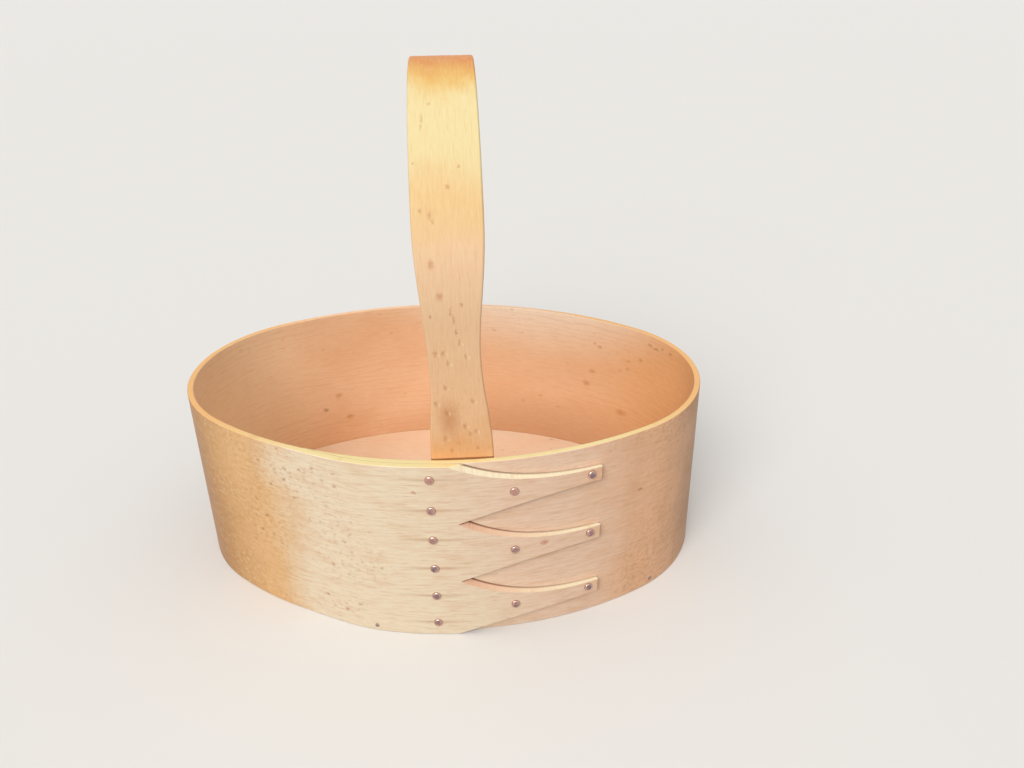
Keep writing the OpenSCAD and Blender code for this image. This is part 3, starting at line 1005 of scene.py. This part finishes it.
# %% the bottom board
board_gap = 0.12 * MM
board_ease = 0.4 * MM
board_n = 256
bpy.ops.mesh.primitive_circle_add(vertices=board_n, radius=1, fill_type="NGON")
board = newest("board_bottom")


def to_oval(co):
    """Where a point of the circle goes on the oval."""
    return on_wall(math.atan2(co.x, -co.y) / turn * round_len, -board_gap)


shape(board, to_oval)
bpy.ops.object.mode_set(mode="EDIT")
bpy.ops.mesh.select_all(action="SELECT")
bpy.ops.mesh.extrude_region_move(TRANSFORM_OT_translate={"value": (0, 0, board_t)})
pick_edges(board, lambda edge: abs(edge.verts[0].co.z - edge.verts[1].co.z) < rounding)
bpy.ops.mesh.bevel(offset=board_ease, segments=3, affect="EDGES")
bpy.ops.mesh.select_all(action="SELECT")
bpy.ops.mesh.normals_make_consistent(inside=False)
bpy.ops.object.mode_set(mode="OBJECT")
board.data.materials.append(floor_maple)
keep_grain(board, lambda co: Vector((co.x, co.z, co.y)))
smooth(board)
hand_over(board, "bottom_board")

# %% [markdown]
# ## The hoop handle
# One strip, sawn with a waist above the rim and a wider grip, its edges rounded for the hand. It is
# laid flat with its outside up. Its width is set by the height that each slice will have in the hoop,
# so both legs get their waist at the same place.

# %% the flat handle
handle_ease = 1 * MM
handle_cuts = 15
handle = bar("handle_hoop", (0, -grip_w / 2, -handle_t), (handle_len, grip_w / 2, 0), handle_cuts,
             handle_ease)


def hoop_height(x):
    """Height of the strip's outside at x along it."""
    if leg_len < x < leg_len + arch_len:
        return spring_z + arch_r * math.sin((x - leg_len) / arch_r)
    return leg_foot + min(x, handle_len - x)


def strip_width(z):
    """Width of the handle at height z."""
    up = z - wall_h
    if up < waist_h:
        return mix(foot_w, waist_w, ease(up / waist_h))
    return mix(waist_w, grip_w, ease((up - waist_h) / shoulder_h))


def sawn(co):
    """Where a corner of the plain bar goes on the sawn strip."""
    inward = (grip_w - strip_width(hoop_height(co.x))) / 2
    return Vector((co.x, co.y - math.copysign(inward, co.y), co.z))


shape(handle, sawn)
print(f"flat handle: {len(handle.data.polygons)} faces")

# %% [markdown]
# ## Bending the handle
# The strip is bent like the band: up from the board along the front wall, over in a half circle and
# down the back wall. The hoop stands a little askew, and a Curve modifier starts a rising strip
# square to Y, so the line of the form is given that turn as a tilt. The two walls aren't quite
# parallel where the hoop meets them, so the tilt also lays each leg flat on its wall.

# %% bend the handle
handle.data.materials.append(hoop_maple)
keep_grain(handle, lambda co: Vector((co.x, co.z, co.y)))
hoop_turn = math.atan2(-across_hoop.x, across_hoop.y)
hoop_n = 640
hoop_line = []
hoop_twists = []
for i in range(hoop_n + 1):
    x = handle_len * i / hoop_n
    z = hoop_height(x)
    # 0 where the arch begins, and 1 where a leg lies on its wall
    settle = ease((spring_z - z) / (spring_z - wall_h))
    if x < leg_len:
        s = leg_s[0] - leg_lean * (1 - settle)
        at = on_wall(s, leg_d, z)
        twist = wall_arc(s)[2] - hoop_turn
    else:
        arch = min(math.pi, (x - leg_len) / arch_r)
        at = arch_front + across_hoop * (1 - math.cos(arch)) / 2 + Vector((0, 0, z))
        twist = hoop_turn - (wall_arc(leg_s[1])[2] - math.pi)
    hoop_line.append(at)
    hoop_twists.append(hoop_turn + settle * twist)
bend(handle, hoop_line, hoop_twists)
smooth(handle)
hand_over(handle, "handle")

# %% [markdown]
# ## The copper tacks
# Each tack is a shank with a domed head. It starts as a circle that is extruded and scaled ring by
# ring, as a turner would follow a profile. A ready sphere would be too round: the crown is nearly
# level in the middle and steep at its edge.

# %% one tack
around = 32


def turned(name, profile):
    """A turned piece along Z from a profile of radius and height, closed at both ends."""
    radius, height = profile[0]
    bpy.ops.mesh.primitive_circle_add(vertices=around, radius=radius, fill_type="NGON",
                                      location=(0, 0, height))
    piece = newest(name)
    bpy.ops.object.transform_apply(location=True, rotation=True, scale=True)
    bpy.ops.object.mode_set(mode="EDIT")
    bpy.ops.mesh.select_all(action="SELECT")
    for (last_r, last_z), (radius, height) in zip(profile, profile[1:]):
        bpy.ops.mesh.extrude_region_move(TRANSFORM_OT_translate={"value": (0, 0, height - last_z)})
        scale = radius / last_r
        bpy.ops.transform.resize(value=(scale, scale, 1), center_override=(0, 0, height))
    bpy.ops.mesh.select_all(action="SELECT")
    bpy.ops.mesh.normals_make_consistent(inside=False)
    bpy.ops.object.mode_set(mode="OBJECT")
    return piece


head_r = 2.25 * MM
head_h = 1.2 * MM
shank_r = 0.8 * MM
clinch_r = 1.4 * MM
clinch_t = 0.6 * MM
clinch_proud = 0.12 * MM
head_edge = 0.2 * MM
crown_n = 9
# Below 1 this makes the dome level in the middle and steep at its edge
square = 0.7
# Shares of the whole: how wide a clinch is at its end and a point at its tip, and where a point begins
clinch_end = 0.7
point_end = 0.25
point_from = 0.7
crown = []
for i in range(crown_n):
    climb = math.pi / 2 * i / crown_n
    crown.append((head_r * math.cos(climb) ** square,
                  head_edge + (head_h - head_edge) * math.sin(climb) ** square))
head = [(shank_r, 0), (head_r - head_edge / 2, 0), *crown]
clinch = [(clinch_r * clinch_end, -clinch_proud), (clinch_r, 0), (clinch_r, clinch_t), (shank_r, clinch_t)]
leg_reach = 5.2 * MM
leg_shank = [(shank_r * point_end, -leg_reach), (shank_r, -leg_reach * point_from)]
print(f"head {2 * head_r / MM:.1f} mm across and {head_h / MM:.1f} mm high")

# %% [markdown]
# ## Driving the tacks
# A hammered head is never a true dome, so a few flats are pressed into it. One tack for each group is
# made and copied to its places, and each copy is spun and tipped a little by a seeded draw. Making
# every tack by itself would look no better, since a head is under 5 mm across.

# %% hammer and drive
draw = random.Random(18)
blows = 3
struck = 0.04 * MM
# Lean of the hammer and of the driven tack, in degrees
hammer_lean = (3, 10)
tack_lean = (-2, 2)


def hammer(piece):
    """Beat shallow flats into a crown: what stands beyond the hammer's face is pressed down to it."""
    for _ in range(blows):
        bearing = draw.uniform(0, turn)
        lean = math.radians(draw.uniform(*hammer_lean))
        face = Vector((math.sin(lean) * math.cos(bearing), math.sin(lean) * math.sin(bearing),
                       math.cos(lean)))
        reach = (head_h - struck) * face.z
        shape(piece, lambda co: co - face * max(0, co.dot(face) - reach))


def tack_pattern(shank):
    """A tack to copy: its shank's profile, then its head, struck by the hammer."""
    pattern = turned("pattern", shank + head)
    hammer(pattern)
    pattern.data.materials.append(copper)
    keep_grain(pattern, lambda co: co)
    return pattern


def lap_shank(s):
    """Shank of a tack that is clinched flush with the inside of the wall at s."""
    return [(r, z - outside(s)) for r, z in clinch]


def drive(pattern, name, places, inward=False):
    """Copies of a fastener at places s, d and z on the wall, joined into one piece."""
    copies = []
    for s, d, z in places:
        work_on(pattern)
        bpy.ops.object.duplicate()
        copy = bpy.context.object
        heading = wall_arc(s)[2] + (math.pi if inward else 0)
        spin = Matrix.Rotation(draw.uniform(0, turn), 4, "Z")
        tip = Matrix.Rotation(math.radians(draw.uniform(*tack_lean)), 4, "X")
        stand = Matrix.Rotation(heading, 4, "Z") @ Matrix.Rotation(math.pi / 2, 4, "X")
        copy.matrix_world = Matrix.Translation(on_wall(s, d, z)) @ stand @ tip @ spin
        copies.append(copy)
    work_on(copies[0])
    for copy in copies:
        copy.select_set(True)
    bpy.ops.object.transform_apply(location=True, rotation=True, scale=True)
    bpy.ops.object.join()
    piece = newest(name)
    smooth(piece)
    bpy.data.objects.remove(pattern)
    return piece


print("hammer ready:", blows, "blows to a head")

# %% drive the tacks
def on_lap(places):
    """Places on the outside of the lap."""
    return [(s, outside(s), z) for s, z in places]


def on_leg(s):
    """Places on the inside of the leg at s, as high as the finger tips."""
    return [(s, leg_d - handle_t, tip_z(i)) for i in range(finger_n)]


for name, shank, places, inward, solid in (
    ("tacks_seam", lap_shank(seam_s), on_lap(seam_places), False, "seam_tacks"),
    ("tacks_finger_middle", lap_shank(middle_tack_s), on_lap(middle_places), False, "finger_middle_tacks"),
    ("tacks_finger_tip", lap_shank(tip_tack_s), on_lap(tip_places), False, "finger_tip_tacks"),
    ("tacks_handle_front", leg_shank, on_leg(leg_s[0]), True, "handle_front_tacks"),
    ("tacks_handle_back", leg_shank, on_leg(leg_s[1]), True, "handle_back_tacks"),
):
    hand_over(drive(tack_pattern(shank), name, places, inward), solid)

# %% [markdown]
# ## The pins round the base
# Five small iron pins run through the band into the board. Only their heads show, as dark dots
# just above the bottom edge. They are turned and driven with the helpers that made the tacks.

# %% the pins
pin_n = 5
pin_s = -27 * MM
pin_head_r = 1.1 * MM
pin_head_t = 0.6 * MM
pin_r = 0.7 * MM
pin_reach = 12 * MM
# The point begins here, and the head is eased from here: shares of the whole
pin_point_from = 0.8
pin_eased = 0.6
pin_profile = [(pin_r * point_end, -pin_reach), (pin_r, -pin_reach * pin_point_from), (pin_r, 0),
               (pin_head_r, 0), (pin_head_r, pin_head_t * pin_eased), (pin_head_r * pin_eased, pin_head_t)]
pin = turned("pin", pin_profile)
pin.data.materials.append(iron)
pin_places = []
for i in range(pin_n):
    s = pin_s + i * round_len / pin_n
    pin_places.append((s, outside(s) if s < tip_s else band_t, board_t / 2))
hand_over(drive(pin, "pins_bottom", pin_places), "bottom_pins")

# %% [markdown]
# ## The floor
# A sheet of matt paper, so pale that it has no colour of its own. A wide plane does for it. It looks
# paler than it lights: white paper would throw so much light up that the walls lost their shape.

# %% floor
def backdrop_ray(tree):
    """1 for rays that look at the backdrop, straight or in a mirror, and 0 for rays that light things."""
    path = node(tree, "LightPath").node
    looks = node(tree, "Math", path.outputs["Is Camera Ray"], path.outputs["Is Glossy Ray"])
    return node(tree, "Math", looks, path.outputs["Is Transmission Ray"], use_clamp=True)


floor_size = 30
bpy.ops.mesh.primitive_plane_add(size=floor_size)
ground = newest("floor")
paper, tree = new_finish("matt paper")
shade = node(tree, "Mix", {0: backdrop_ray(tree), 6: colour("#8f8c88"), 7: colour("#e9e6e1")},
             out=2, data_type="RGBA")
shader = node(tree, "BsdfPrincipled", {"Base Color": shade, "Roughness": 0.9})
node(tree, "OutputMaterial", {"Surface": shader})
ground.data.materials.append(paper)
ground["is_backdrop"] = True
print("floor:", paper.name)

# %% [markdown]
# ## Light
# A big soft light like a window in front and to the left, a softer one overhead and a faint even sky.
# Area lamps would fade across the floor, so both are wide suns. Together they are set so that a colour
# renders about as it is written.

# %% light
def soft_light(name, azimuth, elevation, spread, strength):
    """Even light from one side: azimuth to the right of the front, elevation and spread in degrees."""
    bpy.ops.object.light_add(type="SUN")
    lamp = bpy.context.object
    lamp.name = name
    lamp.data.angle = math.radians(spread)
    lamp.data.energy = strength
    lamp.rotation_euler = (math.radians(90 - elevation), 0, math.radians(azimuth))
    print(f"{name}: from {azimuth} degrees, {elevation} up")


soft_light("window_light", azimuth=-18, elevation=36, spread=40, strength=2)
soft_light("ceiling_light", azimuth=0, elevation=85, spread=110, strength=1.25)
sky_light = 0.25
sky_seen = 0.85
world = bpy.data.worlds.new("even sky")
bpy.context.scene.world = world
world.use_nodes = True
world.node_tree.nodes.clear()
tree = world.node_tree
strength = node(tree, "MapRange", backdrop_ray(tree), 0, 1, sky_light, sky_seen)
sky = node(tree, "Background", {"Color": colour("#f4f5f7"), "Strength": strength})
node(tree, "OutputWorld", {"Surface": sky})

# %% [markdown]
# ## Camera
# The camera stands in front of the carrier, a little to the right, and looks down into it. Its place
# was worked out from the ovals of the rim and the base as they look from there, because an oval of
# known shape shows where it is seen from.

# %% camera
picture_w = 1024
focal_px = 855.0
sensor_w = 36
camera_at = Vector((63.54, -441.98, 321.15)) * MM
yaw = -0.0551
pitch = 0.4734
roll = -0.0133
bpy.ops.object.camera_add()
camera = bpy.context.object
camera.name = "camera"
camera.data.sensor_width = sensor_w
camera.data.lens = focal_px * sensor_w / picture_w
nearest = 10 * MM
camera.data.clip_start = nearest
camera.matrix_world = (Matrix.Translation(camera_at) @ Matrix.Rotation(-yaw, 4, "Z")
                       @ Matrix.Rotation(math.pi / 2 - pitch, 4, "X") @ Matrix.Rotation(roll, 4, "Z"))
bpy.context.scene.camera = camera
bpy.context.scene.view_settings.view_transform = "Standard"
print(f"lens {camera.data.lens:.1f} mm")

# %% [markdown]
# The finished pieces must stay in the solids' box. Both boxes are written down to compare.

# %% sizes and the end
dressed_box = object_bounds()
for solid, dressed in zip(solid_box, dressed_box):
    print("corner", [round(v / MM, 2) for v in solid], "now", [round(v / MM, 2) for v in dressed])
